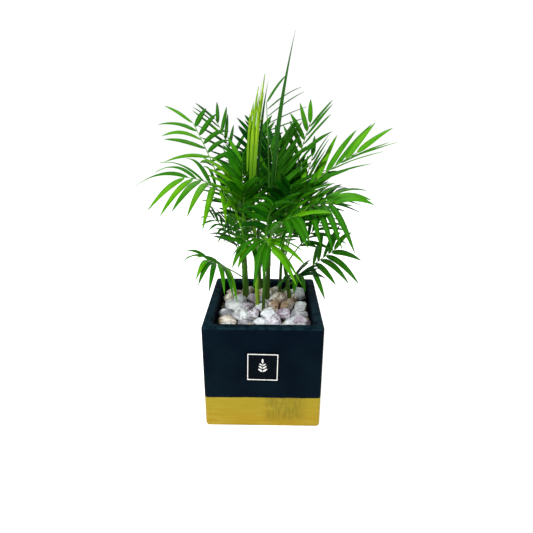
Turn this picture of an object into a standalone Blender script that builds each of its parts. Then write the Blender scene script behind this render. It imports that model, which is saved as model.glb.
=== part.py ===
"""A potted parlour palm. Metres, +Z up, at its real size.

The origin is the middle of the pot's flat underside, and the face with the label looks
along -Y. Seven stems stand in a square pot, in soil under a bed of broken stones. A frond
is a thin sheet, a stalk with one strip for each leaflet, that Solidify makes a solid.
"""

import math
from collections import namedtuple

import bmesh
import bpy
from mathutils import Matrix, Vector
from mathutils.bvhtree import BVHTree

MM = 0.001
GAP = 0.3 * MM
UP = Vector((0, 0, 1))

# The pot is nearly a cube, with its walls upright and its lower third painted gold.
POT_SIDE = 122 * MM
POT_HEIGHT = 120 * MM
WALL = 9.5 * MM
FLOOR = 12 * MM
CORNER_RADIUS = 4 * MM
RIM_ROUNDING = 2.5 * MM
FOOT_ROUNDING = 3.5 * MM
MOUTH_FLARE = 1.5 * MM
GOLD_HEIGHT = 38 * MM
SOIL_TOP = 98 * MM
LABEL_SIDE = 34.4 * MM
LABEL_HEIGHT = 76 * MM
LABEL_THICKNESS = 0.4 * MM
FRAME_SIDE = 30.8 * MM
FRAME_LINE = 1.1 * MM

# Stones lie in rows on a thin bed that joins them.
STONE_ROWS = 6
STONE_SIZE = 19 * MM
STONE_POINTS = 9
GOLDEN_ANGLE = math.pi * (3 - math.sqrt(5))
BED_THICKNESS = 4 * MM
MOUND = 2 * MM
BACK_RISE = 3 * MM

# A stem, in millimetres: foot, what it leans by on its way up, top height and radius.
Stem = namedtuple("Stem", "foot lean top radius")
STEMS = {
    "thick": Stem((-21.5, 27), (-3, -1), 186, 4.0),
    "bright": Stem((-7, 6), (-4.5, 2), 228, 2.4),
    "slim": Stem((-1, 1), (2, -3), 182, 1.9),
    "middle": Stem((3, 23.5), (3, -1), 200, 3.0),
    "slanting": Stem((32, 24), (-12, -2), 176, 2.6),
    "right": Stem((17.5, 31), (3, 3), 184, 2.1),
    "back": Stem((-6, 43), (-2, 6), 188, 2.6),
}
STEM_SIDES_RESOLUTION = 2
STEM_RINGS = 7
ROOT_FLARE = 0.35
STEM_TAPER = 0.3

# A spear is a leaf that hasn't opened: foot, a bend halfway, tip and radius in millimetres.
Spear = namedtuple("Spear", "foot bend tip radius")
SPEARS = {
    "spear_tall": Spear((6, 22.5, 200.3), (13.5, 21, 303), (29, 20, 395), 1.4),
    "spear_new_a": Spear((-11.3, 8, 228.3), (-8.5, 8.5, 290), (0, 9, 355.5), 2.0),
    "spear_new_b": Spear((-15, 8, 236), (-11.5, 8, 300), (-5.5, 7.5, 344), 1.8),
    "spear_new_c": Spear((-17.5, 9, 262), (-15.5, 9.5, 300), (-11, 9, 328), 1.3),
    "spear_new_d": Spear((-7, 12, 240), (-4, 14, 300), (3.5, 15, 350), 1.4),
}
SPEAR_POINTS = 7

# A frond, in millimetres and degrees. It leaves its stem at a height, which for the newest
# is just over the stem's end, first leaning from the upright by an angle and for a share of
# its length, and its rib ends at the tip. Its
# face is rolled about the rib. The stalk's bare share has no leaflets, and its leaflets
# turn level by a share, to face the light. A leaf that is opening has them on one side.
# The sweep is the angle between the rib and its first leaflets.
BOTH, OPENING = (1, -1), (1,)
Frond = namedtuple(
    "Frond",
    "stem leaves_at tip lean straight roll bare pairs leaflet width sweep droop level sides",
    defaults=(0, BOTH),
)
FRONDS = {
    "frond_left_low": Frond("thick", 184, (-82, -10, 259), 5, 0.7, -26, 0.42, 7, 63, 7.0, 84, 0.54),
    "frond_right_front": Frond("slanting", 170, (72, -12, 234), 8, 0.75, 32, 0.42, 6, 58, 7.5, 75, 0.5),
    "frond_left_top": Frond("thick", 180, (-84, 68, 311), 20, 0.5, -12, 0.56, 6, 50, 6.5, 84, 0.42, 0.3),
    "frond_right_high": Frond("middle", 190, (96, 5, 284), 25, 0.5, 30, 0.38, 7, 54, 7.5, 52, 0.15, 0.2),
    "frond_right_top": Frond("right", 180, (51, 60, 312), 5, 0.5, 0, 0.50, 7, 44, 6.0, 62, 0.20, 0.2),
    "frond_right_low": Frond("right", 116, (71, -5, 178), 40, 0.5, 40, 0.55, 5, 48, 7.0, 65, 0.45),
    "frond_left_foot": Frond("thick", 138, (-60, -10, 172), 50, 0.55, -15, 0.42, 6, 44, 6.5, 72, 0.75),
    "frond_front": Frond("bright", 170, (8, -38, 193), 15, 0.8, 0, 0.45, 5, 38, 7.5, 75, 0.65),
    "frond_opening": Frond(
        "middle", 197, (1, 40, 336), 0, 0.5, 0, 0.74, 5, 46, 4.0, 72, 0.25, 0.9, OPENING
    ),
    "frond_behind": Frond("back", 189, (-9, 72, 300), 5, 0.5, 0, 0.45, 7, 38, 6.0, 70, 0.20, 0.2),
    "frond_left_fine": Frond("thick", 165, (-57, 14, 213), 20, 0.5, -30, 0.5, 5, 28, 3.5, 70, 0.5, 0.5),
    "frond_left_back": Frond("back", 180, (-62, 95, 314), 15, 0.5, 0, 0.50, 7, 42, 5.0, 60, 0.20, 0.3),
    "frond_front_left": Frond("slim", 168, (-24, -20, 194), 15, 0.6, -20, 0.45, 5, 34, 6.5, 70, 0.60),
    "frond_middle": Frond("middle", 180, (17, 62, 292), 5, 0.5, 0, 0.40, 8, 42, 7.0, 55, 0.10, 0.1),
    "frond_right_mid": Frond("slanting", 166, (52, 35, 278), 15, 0.5, 20, 0.35, 8, 46, 8, 60, 0.2, 0.2),
    "frond_right_inner": Frond("slanting", 156, (64, 26, 203), 30, 0.5, 30, 0.4, 6, 40, 5, 60, 0.35, 0.3),
    "frond_left_inner": Frond("bright", 200, (-38, 30, 262), 10, 0.5, -20, 0.35, 7, 42, 6, 60, 0.25, 0.2),
    "frond_front_right": Frond("slim", 178, (34, -30, 226), 10, 0.6, 20, 0.4, 6, 44, 7.5, 65, 0.5),
    "frond_front_middle": Frond("slim", 183, (10, -28, 238), 5, 0.6, 0, 0.35, 6, 38, 7.0, 65, 0.4),
    "frond_inner_left": Frond("bright", 188, (-32, -10, 238), 10, 0.5, -20, 0.4, 6, 42, 6.5, 65, 0.4),
    "frond_back_right": Frond("right", 170, (48, 98, 242), 20, 0.5, 0, 0.40, 7, 48, 7.0, 65, 0.30, 0.1),
    "frond_back_middle": Frond("back", 176, (-2, 114, 250), 20, 0.5, 0, 0.40, 7, 48, 7.0, 65, 0.3, 0.1),
    "frond_back_left": Frond("back", 170, (-50, 92, 228), 20, 0.5, 0, 0.40, 7, 46, 7.0, 65, 0.3, 0.1),
    "frond_back_low": Frond("back", 140, (20, 98, 178), 35, 0.5, 0, 0.45, 6, 44, 6.5, 65, 0.40),
    "frond_back_corner": Frond("thick", 145, (-34, 96, 190), 30, 0.5, 0, 0.45, 6, 40, 6.5, 65, 0.35),
    "frond_back_far": Frond("middle", 176, (84, 62, 228), 25, 0.5, 15, 0.40, 7, 46, 6.5, 65, 0.35),
    "frond_heart_left": Frond("thick", 180, (-20, -6, 250), 8, 0.5, 0, 0.35, 6, 36, 7.0, 60, 0.3),
    "frond_heart_right": Frond("slanting", 177, (28, -4, 250), 5, 0.5, 0, 0.35, 6, 40, 7.0, 60, 0.3),
    "frond_heart_back": Frond("right", 185, (20, 84, 264), 8, 0.5, 0, 0.35, 6, 42, 7.0, 60, 0.2),
    "frond_core_left": Frond("thick", 187, (-24, 20, 276), 5, 0.5, 0, 0.30, 8, 38, 6.0, 60, 0.2, 0.2),
    "frond_core_low": Frond("thick", 158, (-38, 0, 212), 15, 0.5, -10, 0.35, 6, 38, 6.0, 65, 0.4),
    "frond_core_front": Frond("middle", 170, (14, -6, 226), 8, 0.5, 0, 0.35, 6, 38, 6.5, 60, 0.35),
    "frond_core_right": Frond("right", 150, (48, 46, 236), 15, 0.5, 10, 0.35, 7, 38, 6.0, 60, 0.3),
    "frond_core_tall": Frond("right", 172, (2, 50, 286), 4, 0.5, 0, 0.40, 8, 38, 6.0, 60, 0.2, 0.2),
    "frond_core_back": Frond("back", 160, (-38, 46, 240), 12, 0.5, 0, 0.35, 7, 38, 6.0, 60, 0.3),
    "frond_core_deep": Frond("slanting", 136, (42, 0, 150), 45, 0.5, 10, 0.30, 6, 36, 6.5, 65, 0.45),
}
# The stalk and the rib in millimetres, and how far out along the rib its roll is complete.
STALK_WIDTH = 2.6
RIB_WIDTH = 1.3
STALK_THICKNESS = 1.6
LEAF_THICKNESS = 0.7
ROLL_DONE = 0.67
CURVE_STEPS = 24
STALK_POINTS = 5
# Along a leaflet: how far out each cross line is, and its share of the full width.
LEAF_LINES = ((0.3, 0.9), (0.68, 0.82))
SWEEP_LEFT_AT_TIP = 0.42
LEAF_LIFT = 14
LEAF_FORWARD_BEND = 0.10
# How much leaflets differ: sweep, lift and twist in degrees, length and droop as shares.
SWEEP_SPREAD, LIFT_SPREAD, TWIST_SPREAD = 6, 9, 12
LENGTH_SPREAD, DROOP_SPREAD = 0.08, 0.35
# A leaflet is tested from this share of its length, and its own stalk from further out.
TESTED_FROM, CLEAR_OF_RIB_FROM = 0.06, 0.16
# What a leaflet tries in turn when something is in its way: extra lift and share of length.
LEAF_TRIES = (
    (0, 1), (10, 1), (-10, 1), (18, 0.9), (-18, 0.9), (0, 0.75), (30, 0.75), (-30, 0.75), (8, 0.6)
)
SWINGS = (0, 5, -5, 10, -10, 15, -15, 20, -20)
CLEARANCE = 0.25 * MM

GREENS = {
    "mid": (0.030, 0.170, 0.012),
    "bright": (0.080, 0.320, 0.012),
    "dark": (0.012, 0.085, 0.010),
    "new": (0.230, 0.500, 0.020),
}


def clear_scene():
    for obj in list(bpy.data.objects):
        bpy.data.objects.remove(obj)


def new_collection(name):
    collection = bpy.data.collections.new(name)
    bpy.context.scene.collection.children.link(collection)
    return collection


def material(name, colour, roughness, metallic=0.0):
    made = bpy.data.materials.new(name)
    made.use_nodes = True
    shader = made.node_tree.nodes["Principled BSDF"]
    shader.inputs["Base Color"].default_value = (*colour, 1)
    shader.inputs["Roughness"].default_value = roughness
    shader.inputs["Metallic"].default_value = metallic
    made.diffuse_color = (*colour, 1)
    return made


def wobble(*numbers):
    """A fixed value between -1 and 1 that looks random, for the numbers given."""
    total = sum(number * factor for number, factor in zip(numbers, (12.9898, 78.233, 37.719)))
    return 2 * ((math.sin(total) * 43758.5453) % 1) - 1


def add_object(name, bm, collection, look, smooth_angle=None):
    mesh = bpy.data.meshes.new(name)
    bm.to_mesh(mesh)
    bm.free()
    obj = bpy.data.objects.new(name, mesh)
    collection.objects.link(obj)
    mesh.materials.append(look)
    if smooth_angle:
        mesh.shade_smooth()
        mesh.set_sharp_from_angle(angle=math.radians(smooth_angle))
    return obj


def rounded_box(side_x, side_y, low, high, corner, top=0, bottom=0):
    """A bmesh box between two heights, with rounded upright edges, top edge and foot."""
    bm = bmesh.new()
    middle = Matrix.Translation((0, 0, (low + high) / 2))
    size = Matrix.Diagonal((side_x, side_y, high - low, 1))
    bmesh.ops.create_cube(bm, size=1, matrix=middle @ size)

    def level(edge, height):
        return all(abs(vert.co.z - height) < 1e-6 for vert in edge.verts)

    def rounded(edges, radius, segments):
        bmesh.ops.bevel(
            bm, geom=edges, offset=radius, segments=segments, profile=0.5, affect="EDGES"
        )

    upright = [edge for edge in bm.edges if not level(edge, low) and not level(edge, high)]
    rounded(upright, corner, 4)
    if top:
        rounded([edge for edge in bm.edges if level(edge, high)], top, 3)
    if bottom:
        rounded([edge for edge in bm.edges if level(edge, low)], bottom, 3)
    return bm


def boolean(obj, other, operation):
    cut = obj.modifiers.new(other.name, "BOOLEAN")
    cut.object = other
    cut.operation = operation
    cut.solver = "EXACT"
    return cut


def apply_modifiers(obj):
    graph = bpy.context.evaluated_depsgraph_get()
    obj.data = bpy.data.meshes.new_from_object(obj.evaluated_get(graph))
    obj.modifiers.clear()


def make_pot(parts, cutters):
    """A thick square pot, open at the top, with a flared inner edge to its mouth."""
    bm = rounded_box(
        POT_SIDE, POT_SIDE, 0, POT_HEIGHT, CORNER_RADIUS, RIM_ROUNDING, FOOT_ROUNDING
    )
    bmesh.ops.bisect_plane(
        bm, geom=bm.verts[:] + bm.edges[:] + bm.faces[:],
        plane_co=(0, 0, GOLD_HEIGHT), plane_no=UP,
    )
    for face in bm.faces:
        face.material_index = int(face.calc_center_median().z < GOLD_HEIGHT)
    pot = add_object("pot", bm, parts, material("black glaze", (0.006, 0.010, 0.016), 0.55), 35)
    pot.data.materials.append(material("gold paint", (0.50, 0.36, 0.045), 0.45, 0.6))

    inside = POT_SIDE - 2 * WALL
    hollow = rounded_box(inside, inside, FLOOR, POT_HEIGHT, CORNER_RADIUS)
    for vert in hollow.verts:
        if vert.co.z > POT_HEIGHT / 2:
            vert.co.z = POT_HEIGHT - MOUTH_FLARE
    lid = max(hollow.faces, key=lambda face: face.calc_center_median().z)
    raised = bmesh.ops.extrude_face_region(hollow, geom=[lid])["geom"]
    for vert in (item for item in raised if isinstance(item, bmesh.types.BMVert)):
        vert.co.z = POT_HEIGHT + MOUTH_FLARE
        vert.co.x *= (inside + 4 * MOUTH_FLARE) / inside
        vert.co.y *= (inside + 4 * MOUTH_FLARE) / inside
    bmesh.ops.delete(hollow, geom=[lid], context="FACES")
    bmesh.ops.recalc_face_normals(hollow, faces=hollow.faces[:])
    cutter = add_object("pot hollow", hollow, cutters, material("cutter", (1, 0, 0), 0.5))
    cutter.hide_render = True
    cutter.display_type = "WIRE"
    boolean(pot, cutter, "DIFFERENCE")
    return pot


def make_soil(parts):
    inside = POT_SIDE - 2 * WALL - 2 * GAP
    bm = rounded_box(inside, inside, FLOOR + GAP, SOIL_TOP, CORNER_RADIUS)
    return add_object("soil", bm, parts, material("soil", (0.012, 0.009, 0.007), 0.95))


def make_label(parts):
    """A square sticker and the thin white frame printed on it, both bare inside."""
    turn = Matrix.Rotation(math.radians(1), 4, "Y")
    face = -POT_SIDE / 2 - GAP

    def plate(side, thickness, front):
        bm = bmesh.new()
        place = Matrix.Translation((0, front - thickness / 2, LABEL_HEIGHT))
        bmesh.ops.create_cube(
            bm, size=1, matrix=place @ turn @ Matrix.Diagonal((side, thickness, side, 1))
        )
        return bm

    sticker = plate(LABEL_SIDE, LABEL_THICKNESS, face)
    add_object("label_sticker", sticker, parts, material("sticker", (0.004, 0.005, 0.007), 0.4))
    frame = plate(FRAME_SIDE, LABEL_THICKNESS, face - LABEL_THICKNESS - GAP)
    ends = [item for item in frame.faces if abs(item.normal.y) > 0.9]
    bmesh.ops.inset_individual(frame, faces=ends, thickness=FRAME_LINE)
    bmesh.ops.bridge_loops(frame, edges=[edge for item in ends for edge in item.edges])
    bmesh.ops.delete(frame, geom=ends, context="FACES_ONLY")
    bmesh.ops.recalc_face_normals(frame, faces=frame.faces[:])
    add_object("label_frame", frame, parts, material("label ink", (0.8, 0.8, 0.8), 0.5))


def tube_mesh(name, points, radii, resolution):
    """The mesh of a round tube through the points, capped and welded."""
    curve = bpy.data.curves.new(name, "CURVE")
    curve.dimensions = "3D"
    curve.bevel_depth = 1
    curve.bevel_resolution = resolution
    curve.use_fill_caps = True
    spline = curve.splines.new("POLY")
    spline.points.add(len(points) - 1)
    for place, point, radius in zip(spline.points, points, radii):
        place.co = (*point, 1)
        place.radius = radius
    guide = bpy.data.objects.new(name + " guide", curve)
    bpy.context.scene.collection.objects.link(guide)
    graph = bpy.context.evaluated_depsgraph_get()
    mesh = bpy.data.meshes.new_from_object(guide.evaluated_get(graph))
    bm = bmesh.new()
    bm.from_mesh(mesh)
    bmesh.ops.remove_doubles(bm, verts=bm.verts[:], dist=1e-6)
    bmesh.ops.recalc_face_normals(bm, faces=bm.faces[:])
    bpy.data.objects.remove(guide)
    bpy.data.curves.remove(curve)
    bpy.data.meshes.remove(mesh)
    return bm


def stem_at(stem, height):
    """The stem's middle and radius at a height, in metres."""
    share = (height - SOIL_TOP / MM) / (stem.top - SOIL_TOP / MM)
    x = stem.foot[0] + stem.lean[0] * share
    y = stem.foot[1] + stem.lean[1] * share
    flare = ROOT_FLARE * math.exp(-share * 14)
    radius = stem.radius * (1 + flare - STEM_TAPER * share)
    return Vector((x, y, height)) * MM, radius * MM


def make_stem(name, stem, parts):
    foot = SOIL_TOP / MM + 0.3
    shares = [(ring / STEM_RINGS) ** 1.5 for ring in range(STEM_RINGS + 1)]
    rings = [stem_at(stem, foot + share * (stem.top - foot)) for share in shares]
    bm = tube_mesh(name, [ring[0] for ring in rings], [ring[1] for ring in rings],
                   STEM_SIDES_RESOLUTION)
    for vert in bm.verts:
        if vert.co.z < foot * MM + rings[0][1]:
            vert.co.z = foot * MM
    green = GREENS["bright"] if name == "bright" else GREENS["dark"]
    return add_object("stem_" + name, bm, parts, material("stem " + name, green, 0.5), 40)


def make_spear(name, spear, parts):
    """An unopened leaf: a pointed tube that swells a little above its foot."""
    foot, bend, tip = (Vector(point) * MM for point in (spear.foot, spear.bend, spear.tip))
    knee = 2 * bend - (foot + tip) / 2
    points, radii = [], []
    for step in range(SPEAR_POINTS):
        share = step / (SPEAR_POINTS - 1)
        points.append(foot * (1 - share) ** 2 + knee * 2 * share * (1 - share) + tip * share**2)
        swell = 0.62 + 0.38 * math.sin(math.pi * min(1, share * 1.25))
        radii.append(spear.radius * MM * swell * (1 - 0.8 * max(0, share - 0.55) / 0.45))
    bm = tube_mesh(name, points, radii, 1)
    look = GREENS["dark"] if name in ("spear_tall", "spear_new_d") else GREENS["new"]
    return add_object(name, bm, parts, material(name, look, 0.4), 50)


class Rib:
    """The curve of a frond's stalk and rib, with the frame of its face along it."""

    def __init__(self, frond, swing=0):
        stem, radius = stem_at(STEMS[frond.stem], frond.leaves_at)
        away = Vector(frond.tip) * MM - stem
        away.rotate(Matrix.Rotation(math.radians(swing), 3, "Z"))
        self.heading = Vector((away.x, away.y, 0)).normalized()
        if frond.leaves_at > STEMS[frond.stem].top:
            self.start = stem
        else:
            self.start = stem + self.heading * (radius + GAP + STALK_THICKNESS * MM / 2)
        self.end = stem + away
        lean = math.radians(frond.lean)
        reach = frond.straight * (self.end - self.start).length
        self.knee = self.start + (self.heading * math.sin(lean) + UP * math.cos(lean)) * reach
        self.roll = math.radians(frond.roll)
        self.length = sum(
            (self.point((step + 1) / CURVE_STEPS) - self.point(step / CURVE_STEPS)).length
            for step in range(CURVE_STEPS)
        )

    def point(self, share):
        rest = 1 - share
        return self.start * rest**2 + self.knee * 2 * share * rest + self.end * share**2

    def frame(self, share):
        """Unit vectors along the rib, to its right and out of its upper face."""
        along = (self.knee - self.start) * (1 - share) + (self.end - self.knee) * share
        along.normalize()
        right = Vector((self.heading.y, -self.heading.x, 0))
        right.rotate(Matrix.Rotation(self.roll * min(1, share / ROLL_DONE), 3, along))
        return along, right, right.cross(along)


class Leaflet:
    """One leaflet: where it grows from the rib, and the curve that it follows."""

    def __init__(self, frond, rib, number, pair, side, lift, length_share):
        spread = (pair + (0.25 if side > 0 else 0.75)) / frond.pairs
        self.share = frond.bare + (1 - frond.bare) * min(1, spread)
        along, right, face = rib.frame(self.share)
        sweep = frond.sweep * (1 - (1 - SWEEP_LEFT_AT_TIP) * spread)
        sweep = math.radians(sweep + SWEEP_SPREAD * wobble(number, pair, side))
        up = math.radians(LEAF_LIFT + lift + LIFT_SPREAD * wobble(pair, number, side))
        out = right * side * math.cos(up) + face * math.sin(up)
        self.heading = along * math.cos(sweep) + out * math.sin(sweep)
        profile = 0.72 + 0.4 * math.sin(math.pi * min(1, 0.15 + 0.85 * spread))
        profile *= 1 + LENGTH_SPREAD * wobble(side, pair, number)
        self.length = frond.leaflet * MM * min(1.08, profile) * length_share
        self.droop = frond.droop * (1 + DROOP_SPREAD * wobble(pair, side, number))
        self.width = frond.width * MM * (0.85 + 0.15 * length_share)
        across = (along - self.heading * along.dot(self.heading)).normalized()
        upward = (UP - self.heading * UP.dot(self.heading)).normalized()
        normal = self.heading.cross(across) * side
        normal = (normal.lerp(upward, frond.level)).normalized()
        self.across = normal.cross(self.heading) * side
        tilt = math.radians(TWIST_SPREAD * wobble(number + 3, side, pair))
        self.across.rotate(Matrix.Rotation(tilt, 3, self.heading))
        self.bend = along * LEAF_FORWARD_BEND
        self.root = rib.point(self.share) + right * side * RIB_WIDTH * MM / 2

    def point(self, share):
        curve = self.bend - UP * self.droop
        return self.root + (self.heading * share + curve * share**2) * self.length

    def across_at(self, share):
        along = self.heading + (self.bend - UP * self.droop) * 2 * share
        along.normalize()
        return (self.across - along * along.dot(self.across)).normalized()


def leaf_prism(leaflet, extra, start):
    """Points and triangles of the leaflet as a thin prism that is this much too big."""
    points = []
    for share, width in ((start, 0.5), *LEAF_LINES, (1, 0)):
        middle = leaflet.point(share)
        across = leaflet.across_at(share)
        along = (leaflet.point(share + 0.01) - leaflet.point(share)).normalized()
        face = across.cross(along)
        half = leaflet.width * width / 2 + extra
        thick = LEAF_THICKNESS * MM / 2 + extra
        for side, top in ((-1, -1), (1, -1), (1, 1), (-1, 1)):
            points.append(middle + across * half * side + face * thick * top)
    return points, prism_triangles(len(LEAF_LINES) + 2)


def stalk_prism(rib, extra):
    points = []
    for step in range(CURVE_STEPS + 1):
        share = step / CURVE_STEPS
        along, right, face = rib.frame(share)
        half = (STALK_WIDTH + (RIB_WIDTH - STALK_WIDTH) * share) * MM / 2 + extra
        thick = STALK_THICKNESS * MM / 2 + extra
        for side, top in ((-1, -1), (1, -1), (1, 1), (-1, 1)):
            points.append(rib.point(share) + right * half * side + face * thick * top)
    return points, prism_triangles(CURVE_STEPS + 1)


def prism_triangles(rings):
    """The triangles of a four-sided bar of this many rings, with its ends closed."""
    found = [(0, 1, 2), (0, 2, 3)]
    for ring in range(rings - 1):
        for corner in range(4):
            a = ring * 4 + corner
            b = ring * 4 + (corner + 1) % 4
            found += [(a, b, b + 4), (a, b + 4, a + 4)]
    last = (rings - 1) * 4
    return found + [(last, last + 2, last + 1), (last, last + 3, last + 2)]


class Space:
    """What already stands there, as triangles that a new piece is tested against."""

    def __init__(self):
        self.points = []
        self.triangles = []
        self.tree = None

    def add(self, points, triangles):
        first = len(self.points)
        self.points += points
        self.triangles += [tuple(first + corner for corner in item) for item in triangles]
        self.tree = None

    def add_object(self, obj):
        graph = bpy.context.evaluated_depsgraph_get()
        evaluated = obj.evaluated_get(graph)
        mesh = evaluated.to_mesh()
        mesh.calc_loop_triangles()
        points = [vert.co.copy() for vert in mesh.vertices]
        self.add(points, [tuple(item.vertices) for item in mesh.loop_triangles])
        evaluated.to_mesh_clear()

    def copy(self):
        other = Space()
        other.add(self.points, self.triangles)
        return other

    def touches(self, points, triangles):
        if not self.triangles:
            return False
        if self.tree is None:
            self.tree = BVHTree.FromPolygons(self.points, self.triangles)
        return bool(self.tree.overlap(BVHTree.FromPolygons(points, triangles)))


def place_ribs(space):
    """Each frond's rib, swung about its stem as far as it takes to clear the others."""
    ribs = {}
    for name, frond in FRONDS.items():
        for swing in SWINGS:
            rib = Rib(frond, swing)
            if not space.touches(*stalk_prism(rib, CLEARANCE)):
                ribs[name] = rib
                space.add(*stalk_prism(rib, 0))
                break
    return ribs


def grow_leaflets(number, frond, rib, others):
    """The leaflets that find room, each in the first of its tries that is clear."""
    own = Space()
    own.add(*stalk_prism(rib, 0))
    grown = []
    for pair in range(frond.pairs):
        for side in frond.sides:
            for lift, length_share in LEAF_TRIES:
                leaflet = Leaflet(frond, rib, number, pair, side, lift, length_share)
                whole = leaf_prism(leaflet, CLEARANCE, TESTED_FROM)
                outer = leaf_prism(leaflet, CLEARANCE, CLEAR_OF_RIB_FROM)
                if not others.touches(*whole) and not own.touches(*outer):
                    own.add(*leaf_prism(leaflet, 0, TESTED_FROM))
                    grown.append((pair, side, leaflet))
                    break
    return grown


def frond_sheet(frond, rib, grown):
    """The open sheet of a frond, with the weight that sets each point's thickness."""
    bm = bmesh.new()
    weights = bm.verts.layers.deform.verify()

    def vert(place, thickness):
        made = bm.verts.new(place)
        made[weights][0] = thickness / STALK_THICKNESS
        return made

    half_root = (1 - frond.bare) / frond.pairs / 4
    shares = [frond.bare * step / STALK_POINTS for step in range(STALK_POINTS)]
    roots = {}
    for pair, side, leaflet in grown:
        back = leaflet.share - half_root
        if back > shares[-1] + half_root / 2:
            shares.append(back)
        roots[pair, side] = len(shares) - 1
        shares.append(back + 2 * half_root)
    rails = []
    for share in shares:
        along, right, face = rib.frame(share)
        width = STALK_WIDTH + (RIB_WIDTH - STALK_WIDTH) * min(1, share / frond.bare)
        thick = STALK_THICKNESS + (RIB_WIDTH - STALK_THICKNESS) * min(1, share / frond.bare)
        middle = rib.point(share)
        edge = right * width * MM / 2
        rails.append((vert(middle - edge, thick), vert(middle + edge, thick)))
    for (left, right), (far_left, far_right) in zip(rails, rails[1:]):
        bm.faces.new((left, right, far_right, far_left))
    for pair, side, leaflet in grown:
        first = roots[pair, side]
        rail = 1 if side > 0 else 0
        back, front = rails[first][rail], rails[first + 1][rail]
        for share, width in LEAF_LINES:
            middle = leaflet.point(share)
            edge = leaflet.across_at(share) * leaflet.width * width / 2
            out_back = vert(middle - edge, LEAF_THICKNESS)
            out_front = vert(middle + edge, LEAF_THICKNESS)
            ring = (back, out_back, out_front, front)
            bm.faces.new(ring if side > 0 else ring[::-1])
            back, front = out_back, out_front
        tip = vert(leaflet.point(1), LEAF_THICKNESS)
        ring = (back, tip, front)
        bm.faces.new(ring if side > 0 else ring[::-1])
    return bm


def make_frond(number, name, frond, rib, grown, parts):
    bm = frond_sheet(frond, rib, grown)
    green = ("mid", "bright", "dark")[number % 3]
    obj = add_object(name, bm, parts, material(name, GREENS[green], 0.42))
    obj.vertex_groups.new(name="thickness")
    solid = obj.modifiers.new("thickness", "SOLIDIFY")
    solid.thickness = STALK_THICKNESS * MM
    solid.offset = 0
    solid.vertex_group = "thickness"


def make_fronds(parts, solids):
    """All stalks are placed first, and leaflets give way to them and to each other."""
    fixed = Space()
    for obj in solids:
        fixed.add_object(obj)
    stalks = fixed.copy()
    ribs = place_ribs(stalks)
    leaves = Space()
    for number, (name, frond) in enumerate(FRONDS.items()):
        others = fixed.copy()
        others.add(leaves.points, leaves.triangles)
        for other, rib in ribs.items():
            if other != name:
                others.add(*stalk_prism(rib, 0))
        grown = grow_leaflets(number, frond, ribs[name], others)
        for pair, side, leaflet in grown:
            leaves.add(*leaf_prism(leaflet, 0, TESTED_FROM))
        make_frond(number, name, frond, ribs[name], grown, parts)


def stone(seed, size, place):
    """A broken stone: the hull of points spread over a flattened ball."""
    bm = bmesh.new()
    inside = POT_SIDE / 2 - WALL - 2 * GAP
    turn = Matrix.Rotation(math.pi * wobble(seed, 5), 3, "Z")
    for index in range(STONE_POINTS):
        level = 1 - 2 * (index + 0.5) / STONE_POINTS
        angle = index * GOLDEN_ANGLE + wobble(seed, index)
        ring = math.sqrt(1 - level * level)
        reach = size / 2 * (1 + 0.16 * wobble(index, seed))
        point = Vector((
            math.cos(angle) * ring * (1.15 + 0.2 * wobble(seed, 1)),
            math.sin(angle) * ring * (0.85 + 0.15 * wobble(seed, 2)),
            level * (0.72 + 0.12 * wobble(seed, 3)),
        ))
        point = place + turn @ point * reach
        point.x = max(-inside, min(inside, point.x))
        point.y = max(-inside, min(inside, point.y))
        point.z = max(point.z, SOIL_TOP + GAP + BED_THICKNESS / 2)
        bm.verts.new(point)
    hull = bmesh.ops.convex_hull(bm, input=bm.verts[:])
    loose = [item for item in hull["geom_interior"] if isinstance(item, bmesh.types.BMVert)]
    bmesh.ops.delete(bm, geom=loose, context="VERTS")
    return bm


def stone_places():
    """Staggered rows over the soil, higher in the middle and towards the back."""
    reach = POT_SIDE / 2 - WALL - STONE_SIZE * 0.56
    step = 2 * reach / (STONE_ROWS - 1)
    for row in range(STONE_ROWS):
        for column in range(STONE_ROWS):
            seed = row * STONE_ROWS + column + 1
            shift = 0.25 * step * (1 if row % 2 else -1)
            x = -reach + column * step + shift + 0.18 * step * wobble(seed, 7)
            y = -reach + row * step + 0.18 * step * wobble(seed, 8)
            x = max(-reach, min(reach, x))
            y = max(-reach, min(reach, y))
            mound = MOUND * (1 - (x * x + y * y) / (2 * reach * reach))
            mound += BACK_RISE * max(0, y) / reach
            size = STONE_SIZE * (1.0 + 0.16 * wobble(seed, 9))
            yield seed, size, Vector((x, y, SOIL_TOP + GAP + size * 0.33 + mound))


def make_stones(parts, cutters, stems):
    inside = POT_SIDE - 2 * WALL - 2 * GAP
    low = SOIL_TOP + GAP
    bed = rounded_box(inside, inside, low, low + BED_THICKNESS, CORNER_RADIUS)
    stones = add_object("stones", bed, parts, material("stones", (0.62, 0.58, 0.56), 0.8))
    heap = new_collection("heap")
    look = stones.data.materials[0]
    for seed, size, place in stone_places():
        add_object(f"stone {seed}", stone(seed, size, place), heap, look)
    union = stones.modifiers.new("heap", "BOOLEAN")
    union.operand_type = "COLLECTION"
    union.collection = heap
    union.operation = "UNION"
    union.solver = "EXACT"
    apply_modifiers(stones)
    for obj in list(heap.objects):
        bpy.data.objects.remove(obj)
    bpy.data.collections.remove(heap)
    for name, stem in stems.items():
        rings = [stem_at(stem, height) for height in (SOIL_TOP / MM - 5, SOIL_TOP / MM + 40)]
        sleeve = tube_mesh(
            name, [ring[0] for ring in rings],
            [stem_at(stem, SOIL_TOP / MM)[1] + 2 * GAP] * 2, STEM_SIDES_RESOLUTION,
        )
        cutter = add_object("clear of " + name, sleeve, cutters, look)
        cutter.hide_render = True
        cutter.display_type = "WIRE"
        boolean(stones, cutter, "DIFFERENCE")
    return stones


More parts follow.
